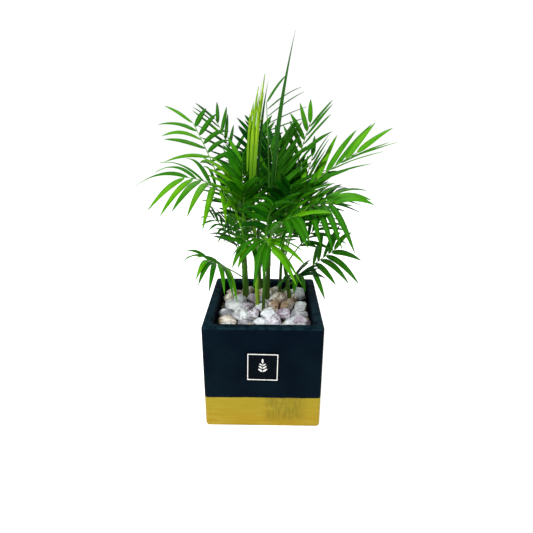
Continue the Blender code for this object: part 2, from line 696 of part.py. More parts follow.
def main():
    clear_scene()
    parts = new_collection("potted parlour palm")
    cutters = new_collection("cutters")
    pot = make_pot(parts, cutters)
    make_soil(parts)
    make_label(parts)
    stones = make_stones(parts, cutters, STEMS)
    solids = [pot, stones]
    for name, stem in STEMS.items():
        solids.append(make_stem(name, stem, parts))
    for name, spear in SPEARS.items():
        solids.append(make_spear(name, spear, parts))
    make_fronds(parts, solids)


main()
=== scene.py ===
# %% [markdown]
# # A potted parlour palm, dressed
#
# The frame gives plain solids: a square pot, stones, seven stems and faceted fronds. This
# lesson puts finer pieces in their place. Every leaflet follows the same rule as the solid
# that it stands for, so the crown keeps its outline, and only its detail changes.

# %% The frame
import math
from collections import namedtuple

import bmesh
import bpy
from mathutils import Matrix, Vector
from mathutils.kdtree import KDTree


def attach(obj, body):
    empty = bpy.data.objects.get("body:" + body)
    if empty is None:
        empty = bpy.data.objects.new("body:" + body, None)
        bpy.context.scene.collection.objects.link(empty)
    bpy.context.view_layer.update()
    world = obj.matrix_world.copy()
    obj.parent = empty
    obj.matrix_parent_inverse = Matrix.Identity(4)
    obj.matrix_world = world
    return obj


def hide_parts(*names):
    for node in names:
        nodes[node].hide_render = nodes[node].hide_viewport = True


MM = 0.001
GAP = 0.3 * MM
UP = Vector((0, 0, 1))
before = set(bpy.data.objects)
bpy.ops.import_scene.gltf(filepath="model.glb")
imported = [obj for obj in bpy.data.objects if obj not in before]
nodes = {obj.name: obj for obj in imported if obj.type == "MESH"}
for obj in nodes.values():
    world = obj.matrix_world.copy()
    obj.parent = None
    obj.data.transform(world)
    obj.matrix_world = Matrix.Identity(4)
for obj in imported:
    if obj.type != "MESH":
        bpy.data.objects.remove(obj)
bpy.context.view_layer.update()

# %% [markdown]
# ## Small helpers
#
# A plant needs differences that look random but come out the same each time. A sine with a large factor
# does that for any numbers. Finished pieces all go through one function, which links the object, smooths
# it, says what it rides on and hides the solids that it stands for.

# %% Helpers for numbers and pieces
WOBBLE_FACTORS = (12.9898, 78.233, 37.719)
WOBBLE_SPREAD = 43758.5453


def wobble(*numbers):
    """A fixed value between -1 and 1 that looks random, for the numbers given."""
    total = sum(number * factor for number, factor in zip(numbers, WOBBLE_FACTORS))
    return 2 * ((math.sin(total) * WOBBLE_SPREAD) % 1) - 1


def blend(first, second, share):
    return first + (second - first) * share


def add_piece(name, bm, finishes, slot, stands_for=(), smooth_angle=180):
    """Turns a bmesh into an object at the origin that rides on the one body."""
    mesh = bpy.data.meshes.new(name)
    bm.to_mesh(mesh)
    bm.free()
    piece = bpy.data.objects.new(name, mesh)
    bpy.context.scene.collection.objects.link(piece)
    for finish in finishes:
        mesh.materials.append(finish)
    mesh.shade_smooth()
    if smooth_angle < 180:
        mesh.set_sharp_from_angle(angle=math.radians(smooth_angle))
    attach(piece, "root")
    if stands_for:
        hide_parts(*stands_for)
    return piece


def upright_edges(verts, least):
    """The edges at these points whose ends differ in height by more than the least."""
    edges = {edge for vert in verts for edge in vert.link_edges}
    return [edge for edge in edges if abs(edge.verts[0].co.z - edge.verts[1].co.z) > least]


# %% [markdown]
# ## Shader maths as expressions
#
# A material is a graph of nodes. Wrapping an output socket lets plain Python operators add
# the Math nodes, so `1 - mask * 0.5` reads as it would on paper. One method adds any node.
# The Mix node has a set of sockets for each kind of value, so its colours go by number.

# %% The two classes that write materials
MIX_FACTOR, MIX_FIRST, MIX_SECOND, MIX_RESULT = 0, 6, 7, 2


class Wire:
    """A node's output, with operators that add Math nodes."""

    def __init__(self, finish, socket):
        self.finish = finish
        self.socket = socket

    def calc(self, operation, *values):
        return self.finish.node(
            "ShaderNodeMath", {"operation": operation}, dict(enumerate(values))
        )

    def __add__(self, other):
        return self.calc("ADD", self, other)

    __radd__ = __add__

    def __sub__(self, other):
        return self.calc("SUBTRACT", self, other)

    def __rsub__(self, other):
        return self.calc("SUBTRACT", other, self)

    def __mul__(self, other):
        return self.calc("MULTIPLY", self, other)

    def __abs__(self):
        return self.calc("ABSOLUTE", self)

    def cosine(self):
        return self.calc("COSINE", self)

    def step(self, low, high):
        """0 below low, 1 above high and a smooth rise between."""
        return self.finish.node(
            "ShaderNodeMapRange", {"interpolation_type": "SMOOTHSTEP"},
            {"Value": self, "From Min": low, "From Max": high},
        )

    def parts(self):
        split = self.finish.node("ShaderNodeSeparateXYZ", {}, {0: self})
        return [Wire(self.finish, output) for output in split.socket.node.outputs]


class Finish:
    """A material that is being written, node by node."""

    def __init__(self, name):
        self.material = bpy.data.materials.new(name)
        self.material.use_nodes = True
        self.tree = self.material.node_tree
        self.tree.nodes.clear()
        self.place = self.node("ShaderNodeTexCoord", output="Object")

    def node(self, kind, settings=None, values=None, output=0):
        made = self.tree.nodes.new(kind)
        for name, value in (settings or {}).items():
            setattr(made, name, value)
        for key, value in (values or {}).items():
            if isinstance(value, Wire):
                self.tree.links.new(value.socket, made.inputs[key])
            else:
                made.inputs[key].default_value = value
        return Wire(self, made.outputs[output]) if made.outputs else None

    def noise(self, scale, detail=3, stretch=(1, 1, 1), offset=(0, 0, 0)):
        where = self.node(
            "ShaderNodeMapping", {}, {"Vector": self.place, "Scale": stretch, "Location": offset}
        )
        return self.node(
            "ShaderNodeTexNoise", {}, {"Vector": where, "Scale": scale, "Detail": detail}
        )

    def mix(self, factor, first, second):
        """A colour between two colours."""
        first, second = (
            colour if isinstance(colour, Wire) else (*colour, 1) for colour in (first, second)
        )
        return self.node(
            "ShaderNodeMix", {"data_type": "RGBA"},
            {MIX_FACTOR: factor, MIX_FIRST: first, MIX_SECOND: second}, output=MIX_RESULT,
        )

    def surface(self, colour, roughness, bump=None, depth=0.2 * MM, metallic=0.0, through=0.0,
                glow=(0, 0, 0), gloss=0.5):
        """Ends the material. Light that shines through a leaf takes the glow's colour."""
        if not isinstance(colour, Wire):
            colour = (*colour, 1)
        values = {"Base Color": colour, "Roughness": roughness, "Metallic": metallic,
                  "Specular IOR Level": gloss}
        if bump is not None:
            values["Normal"] = self.node(
                "ShaderNodeBump", {}, {"Height": bump, "Strength": 1.0, "Distance": depth}
            )
        shader = self.node("ShaderNodeBsdfPrincipled", {}, values)
        if through:
            behind = self.node("ShaderNodeBsdfTranslucent", {}, {"Color": (*glow, 1)})
            shader = self.node("ShaderNodeMixShader", {}, {0: through, 1: shader, 2: behind})
        self.node("ShaderNodeOutputMaterial", {}, {"Surface": shader})
        return self.material


# %% [markdown]
# ## The glazed pot
#
# The pot is nearly a cube, about as thick as a finger, with every edge softly rounded. Two blocks that
# are open at the top, one inside the other, are joined by the ring of the rim, and then the rim and the
# foot are bevelled. It was dipped or brushed gold by hand up to a line that wanders a little, so the line
# is drawn by the material, on the height. A painted highlight lies in patches along the rim, the gold
# grows darker towards the foot, and a faint smudge lies on the right of the gold.

# %% The pot's shape
POT_SIDE = 122 * MM
POT_HEIGHT = 120 * MM
WALL = 9.5 * MM
FLOOR = 12 * MM
CORNER_RADIUS = 4 * MM
FOOT_ROUNDING = 3.5 * MM
RIM_ROUNDING = 2.6 * MM
GOLD_HEIGHT = 38 * MM
SAME_HEIGHT = 0.001 * MM


def add_box(bm, side, low, high):
    """A box on a square base, round the upright axis. Returns its points."""
    place = Matrix.Translation((0, 0, (low + high) / 2))
    place @= Matrix.Diagonal((side, side, high - low, 1))
    return bmesh.ops.create_cube(bm, size=1, matrix=place)["verts"]


def round_edges(bm, edges, radius, segments):
    bmesh.ops.bevel(
        bm, geom=edges, offset=radius, segments=segments, profile=0.5, affect="EDGES",
        material=-1,
    )


def add_block(bm, side, low, high):
    """A box with rounded upright edges, open at the top. Returns the edges of its top."""
    verts = add_box(bm, side, low, high)
    round_edges(bm, upright_edges(verts, MM), CORNER_RADIUS, segments=6)
    lid = max((face for face in bm.faces if face.calc_center_median().z > high - MM),
              key=lambda face: len(face.verts))
    rim = list(lid.edges)
    bmesh.ops.delete(bm, geom=[lid], context="FACES_ONLY")
    return rim


def pot_shape():
    bm = bmesh.new()
    outer = add_block(bm, POT_SIDE, 0, POT_HEIGHT)
    inner = add_block(bm, POT_SIDE - 2 * WALL, FLOOR, POT_HEIGHT)
    loops = [
        sorted({vert for edge in rim for vert in edge.verts},
               key=lambda vert: math.atan2(vert.co.y, vert.co.x))
        for rim in (outer, inner)
    ]
    for index, (far, near) in enumerate(zip(*loops)):
        bm.faces.new((loops[0][index - 1], far, near, loops[1][index - 1]))
    bmesh.ops.recalc_face_normals(bm, faces=bm.faces[:])
    round_edges(bm, outer + inner, RIM_ROUNDING, segments=6)
    foot = [
        edge for edge in bm.edges if all(abs(vert.co.z) < SAME_HEIGHT for vert in edge.verts)
    ]
    round_edges(bm, foot, FOOT_ROUNDING, segments=5)
    return bm


# %% The pot's finish
NIGHT = (0.0003, 0.0030, 0.0075)
NIGHT_SOFT = (0.0010, 0.0058, 0.0105)
NIGHT_RIM_HIGHLIGHT = (0.008, 0.025, 0.036)
GOLD = (0.290, 0.222, 0.018)
GOLD_WARM = (0.320, 0.205, 0.013)
GOLD_LIGHT = (0.390, 0.305, 0.045)
GOLD_OLIVE = (0.125, 0.105, 0.012)
LINE_WANDER, LINE_RIPPLE, LINE_MEAN = 1.6 * MM, 0.9 * MM, 1.1 * MM
LINE_BLUR = 0.25 * MM
RIM_HIGHLIGHT_BAND, RIM_HIGHLIGHT_BLUR = 2.8 * MM, 1.9 * MM
SMUDGE_FOOT = (3 * MM, 16 * MM)
SMUDGE_LEFT = (-2 * MM, 10 * MM)
SMUDGE_RIGHT = (36 * MM, 50 * MM)
WARM_GOLD_TOP = (4 * MM, 45 * MM)
FOOT_DARKENING = (4 * MM, 7.5 * MM)


def pot_finish():
    look = Finish("hand painted pot")
    x, _, height = look.place.parts()
    line = look.noise(26, 2) * LINE_WANDER + look.noise(180, 2) * LINE_RIPPLE
    painted = (GOLD_HEIGHT + LINE_MEAN - height - line).step(-LINE_BLUR, LINE_BLUR)
    clouds = look.noise(30, 5)
    strokes = look.noise(90, 4, stretch=(0.35, 0.35, 3.2))
    dark = look.mix(clouds.step(0.35, 0.75), NIGHT, NIGHT_SOFT)
    # Painted highlight: a band along the top of the rim turns a paler blue-black, broken into patches.
    rim_highlight = (height - (POT_HEIGHT - RIM_HIGHLIGHT_BAND)).step(0, RIM_HIGHLIGHT_BLUR)
    rim_highlight = rim_highlight * look.noise(120, 3).step(0.25, 0.6)
    dark = look.mix(rim_highlight * 0.75, dark, NIGHT_RIM_HIGHLIGHT)
    smudge = look.noise(48, 5, stretch=(1.4, 1, 0.7), offset=(0.3, 0, 0)).step(0.24, 0.50)
    lines = look.noise(300, 3, stretch=(2.2, 1, 0.35)).step(0.30, 0.66)
    smudge = smudge * (0.35 + lines * 0.65) * height.step(*SMUDGE_FOOT)
    smudge = smudge * x.step(*SMUDGE_LEFT) * (1 - x.step(*SMUDGE_RIGHT))
    gold = look.mix((height + strokes * 0.02).step(*WARM_GOLD_TOP), GOLD_WARM, GOLD)
    gold = look.mix(strokes.step(0.45, 0.8) * 0.5, gold, GOLD_LIGHT)
    gold = look.mix(smudge * 0.6, gold, GOLD_OLIVE)
    # The gold grows darker, towards olive, in the lowest few millimetres down to the foot.
    darker_foot = 1 - (height + clouds * 0.006).step(*FOOT_DARKENING)
    gold = look.mix(darker_foot * 0.35, gold, GOLD_OLIVE)
    colour = look.mix(painted, dark, gold)
    grain = look.noise(700, 3) * 0.25 + strokes * 0.45 * painted + clouds * 0.6
    rough = 0.62 - painted * 0.2 + clouds * 0.08
    return look.surface(colour, rough, grain, 0.35 * MM, metallic=painted * 0.35, gloss=0.02)


pot = add_piece("glazed_pot", pot_shape(), [pot_finish()], "pot", ["pot"], smooth_angle=40)
print("pot faces:", len(pot.data.polygons))

# %% [markdown]
# ## The sticker
#
# The square sticker and its thin white frame are flat plates in the frame already, so they
# stay and only get their finishes. Inside the frame goes a plain sprig. Each of its leaves
# has a height, a length and an angle, in millimetres and degrees.

# %% The sticker's finishes and its sprig
LABEL_HEIGHT = 76 * MM
FRAME_STANDS_OUT = 1.1 * MM
SPRIG_THICKNESS = 0.3 * MM
SPRIG_SIZE = 0.84
SPRIG_DROP = 1.1 * MM
SPRIG_TIP = (6.0, 6.5, 90)
SPRIG_PAIRS = ((-5.5, 6.4), (-1.0, 5.6), (3.0, 4.6))
SPRIG_ANGLES = (38, 142)
SPRIG_LEAF_WIDTH = 0.42
SPRIG_LEAF_GAP = 0.08
SPRIG_STALK = (0.5, 16, -2)


def sticker_finish():
    look = Finish("black sticker")
    dust = look.noise(240, 3).step(0.55, 0.8)
    return look.surface(look.mix(dust * 0.5, (0.0006, 0.0020, 0.0040), (0.010, 0.014, 0.016)),
                        0.5 + dust * 0.2, dust, 0.05 * MM, gloss=0.02)


def ink_finish():
    look = Finish("white ink")
    worn = look.noise(420, 3).step(0.5, 0.75)
    return look.surface(look.mix(worn, (0.78, 0.78, 0.76), (0.5, 0.51, 0.5)), 0.6)


def set_finish(name, finish):
    nodes[name].data.materials.clear()
    nodes[name].data.materials.append(finish)


def sprig_shape():
    """A stalk with three pairs of leaves and one at its end, cut from a thin plate."""
    bm = bmesh.new()
    pairs = [(*pair, angle) for pair in SPRIG_PAIRS for angle in SPRIG_ANGLES]
    for height, length, angle in [SPRIG_TIP, *pairs]:
        turn = Matrix.Rotation(math.radians(angle), 2)
        for vert in bmesh.ops.create_circle(bm, cap_ends=True, segments=14, radius=0.5)["verts"]:
            share = vert.co.x + 0.5
            side = vert.co.y * SPRIG_LEAF_WIDTH * (1.1 - 0.5 * share)
            turned = turn @ Vector((share + SPRIG_LEAF_GAP, side))
            vert.co = (turned.x * length * MM, 0, (turned.y * length + height) * MM)
    width, length, middle = SPRIG_STALK
    for vert in bmesh.ops.create_grid(bm, x_segments=1, y_segments=1, size=0.5)["verts"]:
        vert.co = (vert.co.x * width * MM, 0, (vert.co.y * length + middle) * MM)
    bmesh.ops.solidify(bm, geom=bm.faces[:], thickness=SPRIG_THICKNESS)
    front = -POT_SIDE / 2 - FRAME_STANDS_OUT + SPRIG_THICKNESS
    lift = Matrix.Translation((0, front, LABEL_HEIGHT - SPRIG_DROP))
    size = Matrix.Diagonal((SPRIG_SIZE, 1, SPRIG_SIZE, 1))
    bmesh.ops.transform(bm, matrix=lift @ size, verts=bm.verts[:])
    bmesh.ops.recalc_face_normals(bm, faces=bm.faces[:])
    return bm


white_ink = ink_finish()
set_finish("label_sticker", sticker_finish())
set_finish("label_frame", white_ink)
sprig = add_piece("sprig_print", sprig_shape(), [white_ink], "label_ink")
print("sprig faces:", len(sprig.data.polygons))

# %% [markdown]
# ## Soil and stones
#
# Dark potting soil lies under the stones, and a dark bed in the soil's finish, just under the stones, is
# painted shade in the gaps between them. The stones are broken quartz and marble, white, lilac, tan and
# grey, with their edges a little worn. Each is the hull of a few points spread over a squashed ball,
# whose edges are then bevelled. Small stones fill the gaps.

# %% Where the stones lie
SOIL_TOP = 98 * MM
STONE_ROWS = 6
STONE_SIZE = 19 * MM
MOUND = 2 * MM
BACK_RISE = 3 * MM
BED_THICKNESS = 4 * MM
BED_TOP = SOIL_TOP + GAP + BED_THICKNESS
INSIDE = POT_SIDE / 2 - WALL - 2 * GAP
STONE_POINTS = 13
STONE_STRETCH = ((1.15, 0.20), (0.92, 0.15), (0.80, 0.12))
GOLDEN_ANGLE = math.pi * (3 - math.sqrt(5))
WORN_EDGE = 0.040
FILLER_ROWS = 10
FILLER_SEED = 100
FILLER_SIZES = (6.5 * MM, 9.5 * MM)
FILLER_MARGIN = 4 * MM
FILLER_SHIFT = 2.2 * MM
FILLER_SUNK = 0.6 * MM


def stone_places():
    """The same staggered rows as the solid's: a seed, a size and a middle for each."""
    reach = POT_SIDE / 2 - WALL - STONE_SIZE * 0.56
    step = 2 * reach / (STONE_ROWS - 1)
    for row in range(STONE_ROWS):
        for column in range(STONE_ROWS):
            seed = row * STONE_ROWS + column + 1
            shift = 0.25 * step * (1 if row % 2 else -1)
            x = -reach + column * step + shift + 0.18 * step * wobble(seed, 7)
            y = -reach + row * step + 0.18 * step * wobble(seed, 8)
            x = max(-reach, min(reach, x))
            y = max(-reach, min(reach, y))
            mound = MOUND * (1 - (x * x + y * y) / (2 * reach * reach))
            mound += BACK_RISE * max(0, y) / reach
            size = STONE_SIZE * (1.0 + 0.16 * wobble(seed, 9))
            yield seed, size, Vector((x, y, SOIL_TOP + GAP + size * 0.33 + mound))


def filler_places():
    """Small stones in the gaps, a little lower, on a finer staggered grid."""
    reach = INSIDE - FILLER_MARGIN
    for row in range(FILLER_ROWS):
        for column in range(FILLER_ROWS):
            seed = FILLER_SEED + row * FILLER_ROWS + column
            x = blend(-reach, reach, (column + 0.5 * (row % 2)) / (FILLER_ROWS - 0.5))
            y = blend(-reach, reach, row / (FILLER_ROWS - 1))
            shift = Vector((wobble(seed, 1), wobble(seed, 2), 0.5 * wobble(seed, 3)))
            size = blend(*FILLER_SIZES, abs(wobble(seed, 4)))
            level = BED_TOP - FILLER_SUNK + BACK_RISE * max(0, y) / reach
            yield seed, size, Vector((x, y, level)) + shift * FILLER_SHIFT


def add_stone(bm, seed, size, place):
    """A broken stone: the hull of points on a squashed ball, with its edges worn."""
    turn = Matrix.Rotation(math.pi * wobble(seed, 5), 3, "Z")
    wide, deep, high = (
        usual + spread * wobble(seed, axis)
        for axis, (usual, spread) in enumerate(STONE_STRETCH, start=1)
    )
    points = []
    for index in range(STONE_POINTS):
        level = 1 - 2 * (index + 0.5) / STONE_POINTS
        angle = index * GOLDEN_ANGLE + 0.7 * wobble(seed, index)
        ring = math.sqrt(1 - level * level)
        reach = size / 2 * (1.04 + 0.18 * wobble(index, seed))
        point = Vector((
            math.cos(angle) * ring * wide, math.sin(angle) * ring * deep, level * high
        ))
        point = place + turn @ point * reach
        point.x = max(-INSIDE, min(INSIDE, point.x))
        point.y = max(-INSIDE, min(INSIDE, point.y))
        points.append(bm.verts.new(point))
    hull = bmesh.ops.convex_hull(bm, input=points)
    loose = [item for item in hull["geom_interior"] if isinstance(item, bmesh.types.BMVert)]
    bmesh.ops.delete(bm, geom=loose, context="VERTS")
    edges = {edge for vert in points if vert.is_valid for edge in vert.link_edges}
    bmesh.ops.bevel(
        bm, geom=list(edges), offset=size * WORN_EDGE, segments=2, profile=0.6,
        affect="EDGES", clamp_overlap=True,
    )


# %% The stones' finishes
Stone = namedtuple("Stone", "body pale vein bands")
STONE_KINDS = {
    "white": Stone((0.56, 0.60, 0.65), (0.91, 0.94, 0.98), (0.20, 0.17, 0.14), 0.05),
    "lilac": Stone((0.40, 0.35, 0.43), (0.82, 0.81, 0.90), (0.14, 0.07, 0.10), 0.45),
    "grey": Stone((0.24, 0.25, 0.28), (0.70, 0.72, 0.76), (0.045, 0.040, 0.040), 0.10),
    "tan": Stone((0.33, 0.23, 0.14), (0.80, 0.76, 0.68), (0.075, 0.040, 0.02), 0.30),
}
TURNS = ("white", "lilac", "grey", "white", "lilac")
TAN_LIMITS = (-1.0, 0.45)
STONES_SMOOTH = 24
SLIVER = 0.005 * MM


def stone_finish(name, stone):
    """Stone with soft clouds, thin veins and, where it is banded, layers of colour."""
    look = Finish(name)
    clouds = look.noise(85, 5).step(0.38, 0.60)
    colour = look.mix(clouds, stone.body, stone.pale)
    bent = look.noise(60, 4, stretch=(1, 1, 1.6), offset=(3, 1, 0))
    cracks = 1 - abs(bent - 0.5).step(0.0, 0.03)
    colour = look.mix(cracks * 0.8, colour, stone.vein)
    stain = look.noise(110, 4, offset=(7, 2, 0)).step(0.55, 0.66)
    colour = look.mix(stain * 0.6, colour, stone.body)
    layers = (look.noise(38, 3, stretch=(1, 0.6, 2.4)) * 60).cosine().step(0.2, 0.9)
    colour = look.mix(layers * stone.bands, colour, stone.vein)
    specks = look.noise(900, 2).step(0.62, 0.72)
    colour = look.mix(specks * 0.35, colour, stone.vein)
    grain = look.noise(260, 5) * 1.2 + bent * 0.8 - cracks * 0.2
    return look.surface(colour, 0.62 + specks * 0.2, grain, 1.4 * MM, gloss=0.3)


def soil_and_gap_shade_finish():
    look = Finish("potting soil and painted gap shade")
    crumbs = look.noise(520, 5)
    colour = look.mix(crumbs.step(0.4, 0.7), (0.003, 0.003, 0.003), (0.030, 0.022, 0.016))
    return look.surface(colour, 0.95, crumbs, 1.2 * MM)


def stone_kind(seed, place):
    """Tan stones lie more often towards the back, and the other kinds take turns."""
    towards_back = 0.5 + 0.5 * place.y / INSIDE
    if wobble(seed, 6) < blend(*TAN_LIMITS, towards_back):
        return "tan"
    return TURNS[(seed - 1) % len(TURNS)]


heaps = {kind: bmesh.new() for kind in STONE_KINDS}
for seed, size, place in [*stone_places(), *filler_places()]:
    add_stone(heaps[stone_kind(seed, place)], seed, size, place)
for kind, heap in heaps.items():
    bmesh.ops.remove_doubles(heap, verts=heap.verts[:], dist=SLIVER)
    finish = stone_finish(kind + " stone", STONE_KINDS[kind])
    piece = add_piece("stones_" + kind, heap, [finish], "stones", ["stones"], STONES_SMOOTH)
    print(piece.name, "faces:", len(piece.data.polygons))
soil_and_gap_shade_look = soil_and_gap_shade_finish()
set_finish("soil", soil_and_gap_shade_look)
# A dark box in the soil's finish under the stones is painted shade in the gaps between them.
bed = bmesh.new()
add_box(bed, 2 * INSIDE, BED_TOP - BED_THICKNESS, BED_TOP)
add_piece("gap_shade_bed", bed, [soil_and_gap_shade_look], "stones", ["stones"], smooth_angle=40)

# %% [markdown]
# ## Rods that follow a route
#
# Stems, stalks and unopened leaves are all long and round. A capped cylinder is divided into
# rings, and a small function then says where each of its points goes, from how far along and
# which way round it is. A stem's foot, lean, top and radius are in millimetres.

# %% A rod, and the stems


def add_rod(bm, place, sides, rings):
    """A closed rod whose points are put where place(share, x, y) says."""
    first = len(bm.verts)
    made = bmesh.ops.create_cone(
        bm, cap_ends=True, segments=sides, radius1=1, radius2=1, depth=1
    )
    bmesh.ops.subdivide_edges(bm, edges=upright_edges(made["verts"], 0.5), cuts=rings - 1)
    bm.verts.ensure_lookup_table()
    for vert in bm.verts[first:]:
        vert.co = place(vert.co.z + 0.5, vert.co.x, vert.co.y)


Stem = namedtuple("Stem", "foot lean top radius")
STEMS = {
    "thick": Stem((-21.5, 27), (-3, -1), 186, 4.0),
    "bright": Stem((-7, 6), (-4.5, 2), 228, 2.4),
    "slim": Stem((-1, 1), (2, -3), 182, 1.9),
    "middle": Stem((3, 23.5), (3, -1), 200, 3.0),
    "slanting": Stem((32, 24), (-12, -2), 176, 2.6),
    "right": Stem((17.5, 31), (3, 3), 184, 2.1),
    "back": Stem((-6, 43), (-2, 6), 188, 2.6),
}
ROOT_FLARE, FLARE_FADE = 0.35, 14
STEM_TAPER = 0.3
SHEATH_LENGTH, SHEATH_SHIFT = 21, 5
SHEATH_SWELL, SHEATH_SUNK = 0.10, 0.02
SCAR_TILT = 2.5
RIDGES, RIDGE_HEIGHT = 7, 0.015
OLD_CANE_TOP = (118 * MM, 150 * MM)


def stem_at(stem, height):
    """The stem's middle and radius at a height, in metres."""
    share = (height - SOIL_TOP / MM) / (stem.top - SOIL_TOP / MM)
    x = stem.foot[0] + stem.lean[0] * share
    y = stem.foot[1] + stem.lean[1] * share
    flare = ROOT_FLARE * math.exp(-share * FLARE_FADE)
    radius = stem.radius * (1 + flare - STEM_TAPER * share)
    return Vector((x, y, height)) * MM, radius * MM


def stem_shape(number, stem):
    """A cane with a step at each old leaf's scar, where the sheath above it begins."""
    bm = bmesh.new()
    foot = (SOIL_TOP + GAP) / MM

    def place(share, x, y):
        height = blend(foot, stem.top, share)
        middle, radius = stem_at(stem, height)
        turn = math.atan2(y, x)
        tilt = SCAR_TILT * math.sin(turn + number)
        along = ((height + tilt + SHEATH_SHIFT * number) / SHEATH_LENGTH) % 1
        step = SHEATH_SWELL * (1 - along) ** 2 - SHEATH_SUNK
        ridge = RIDGE_HEIGHT * math.cos(RIDGES * turn + number)
        return middle + Vector((x, y, 0)) * radius * (1 + step + ridge)

    add_rod(bm, place, sides=20, rings=96)
    return bm


# %% The stems' finishes


def stem_finish(name, young, old, scar):
    look = Finish(name)
    height = look.place.parts()[2]
    streaks = look.noise(160, 4, stretch=(3, 3, 0.35))
    patches = look.noise(70, 3)
    colour = look.mix(streaks.step(0.35, 0.7), young, old)
    low = 1 - (height + patches * 0.03).step(*OLD_CANE_TOP)
    colour = look.mix(low * 0.65, colour, scar)
    return look.surface(colour, 0.5 + low * 0.2, streaks, 0.3 * MM, gloss=0.2)


bright_stem = stem_finish(
    "young cane", (0.20, 0.42, 0.015), (0.075, 0.24, 0.006), (0.24, 0.27, 0.04)
)
dark_stem = stem_finish(
    "old cane", (0.042, 0.150, 0.004), (0.014, 0.055, 0.003), (0.075, 0.062, 0.012)
)
for number, (name, stem) in enumerate(STEMS.items()):
    look, slot = (bright_stem, "stem_bright") if name == "bright" else (dark_stem, "stem_dark")
    add_piece("cane_" + name, stem_shape(number, stem), [look], slot, ["stem_" + name],
              smooth_angle=60)
print("stems:", len(STEMS))

# %% [markdown]
# ## Leaves that have not opened
#
# A palm's new leaf comes up as a spear, folded like a closed fan. Its rod gets pleats that
# twist a little on their way up, and narrows to a point. On the youngest, which are still
# yellow-green, the tips of single leaflets already stand off, one above the other.

# %% The spears
Spear = namedtuple("Spear", "foot bend tip radius")
SPEARS = {
    "spear_tall": Spear((6, 22.5, 200.3), (13.5, 21, 303), (29, 20, 395), 2.1),
    "spear_new_a": Spear((-11.3, 8, 228.3), (-8.5, 8.5, 290), (0, 9, 355.5), 2.0),
    "spear_new_b": Spear((-15, 8, 236), (-11.5, 8, 300), (-5.5, 7.5, 344), 1.8),
    "spear_new_c": Spear((-17.5, 9, 262), (-15.5, 9.5, 300), (-11, 9, 328), 1.3),
    "spear_new_d": Spear((-7, 12, 240), (-4, 14, 300), (3.5, 15, 350), 1.4),
}
DARK_SPEARS = ("spear_tall", "spear_new_d")
SPEAR_FOOT, SPEAR_SWELL = 0.62, 0.42
NARROWS_FROM, NARROWS_BY = 0.45, 0.95
PLEATS, PLEAT_DEPTH, PLEAT_TWIST = 5, 0.16, 5
STRANDS = 6
STRAND_FOOT, STRAND_STEP, STRAND_END_STEP = 0.16, 0.09, 0.06
STRAND_WIDTH, STRAND_THICKNESS = 0.62, 0.35 * MM
STRAND_STANDS_OFF, STRAND_LEAN = 0.72, 0.9 * MM
SPEAR_COLOUR_CHANGE = (240 * MM, 330 * MM)


def spear_shape(number, spear, strands):
    """A pleated core, and round it this many single leaflets whose tips stand off."""
    bm = bmesh.new()
    foot, bend, tip = (Vector(point) * MM for point in (spear.foot, spear.bend, spear.tip))
    knee = 2 * bend - (foot + tip) / 2
    wide = spear.radius * MM

    def middle(share):
        rest = 1 - share
        return foot * rest**2 + knee * 2 * share * rest + tip * share**2

    def core(share, x, y):
        swell = SPEAR_FOOT + SPEAR_SWELL * math.sin(math.pi * min(1, share * 1.05))
        past = max(0, share - NARROWS_FROM) / (1 - NARROWS_FROM)
        reach = wide * swell * (1 - NARROWS_BY * past**1.6)
        wave = math.cos(PLEATS * math.atan2(y, x) + PLEAT_TWIST * share + number)
        pleat = 1 + PLEAT_DEPTH * wave * min(1, 6 * share)
        return middle(share) + Vector((x, 0.85 * y, 0)) * reach * pleat

    def strand(index):
        angle = GOLDEN_ANGLE * index + number
        out = Vector((math.cos(angle), math.sin(angle), 0))
        side = Vector((-math.sin(angle), math.cos(angle), 0))
        low, high = STRAND_FOOT + STRAND_STEP * index, 1 - STRAND_END_STEP * index

        def place(share, x, y):
            full = math.sin(math.pi * (0.04 + 0.92 * share)) ** 0.6
            lean = out * (wide * STRAND_STANDS_OFF * full + STRAND_LEAN * index * share**4)
            flat = side * x * wide * STRAND_WIDTH + out * y * STRAND_THICKNESS
            return middle(blend(low, high, share)) + lean + flat * full

        return place

    add_rod(bm, core, sides=24, rings=50)
    for index in range(strands):
        add_rod(bm, strand(index), sides=10, rings=40)
    return bm


def spear_finish(name, low, high):
    look = Finish(name)
    height = look.place.parts()[2]
    streaks = look.noise(300, 3, stretch=(3, 3, 0.12))
    colour = look.mix(height.step(*SPEAR_COLOUR_CHANGE), low, high)
    colour = look.mix(streaks.step(0.42, 0.60) * 0.75, colour, low)
    return look.surface(colour, 0.42, streaks, 0.25 * MM, through=0.2, glow=high, gloss=0.2)


new_spear = spear_finish("new spear", (0.080, 0.260, 0.002), (0.330, 0.560, 0.012))
dark_spear = spear_finish("dark spear", (0.010, 0.085, 0.002), (0.018, 0.120, 0.004))
for number, (name, spear) in enumerate(SPEARS.items()):
    dark = name in DARK_SPEARS
    add_piece(name.replace("spear", "bud"), spear_shape(number, spear, 0 if dark else STRANDS),
              [dark_spear if dark else new_spear], "leaf_dark" if dark else "leaf_new", [name])
print("spears:", len(SPEARS))

# %% [markdown]
# ## Where each frond goes
#
# A frond's rib is one smooth curve from its stem to its tip, and its leaflets leave the rib
# in pairs. These are the sizes and the rules that the solids were made by, in millimetres
# and degrees, so a fine leaflet lies where its solid does.

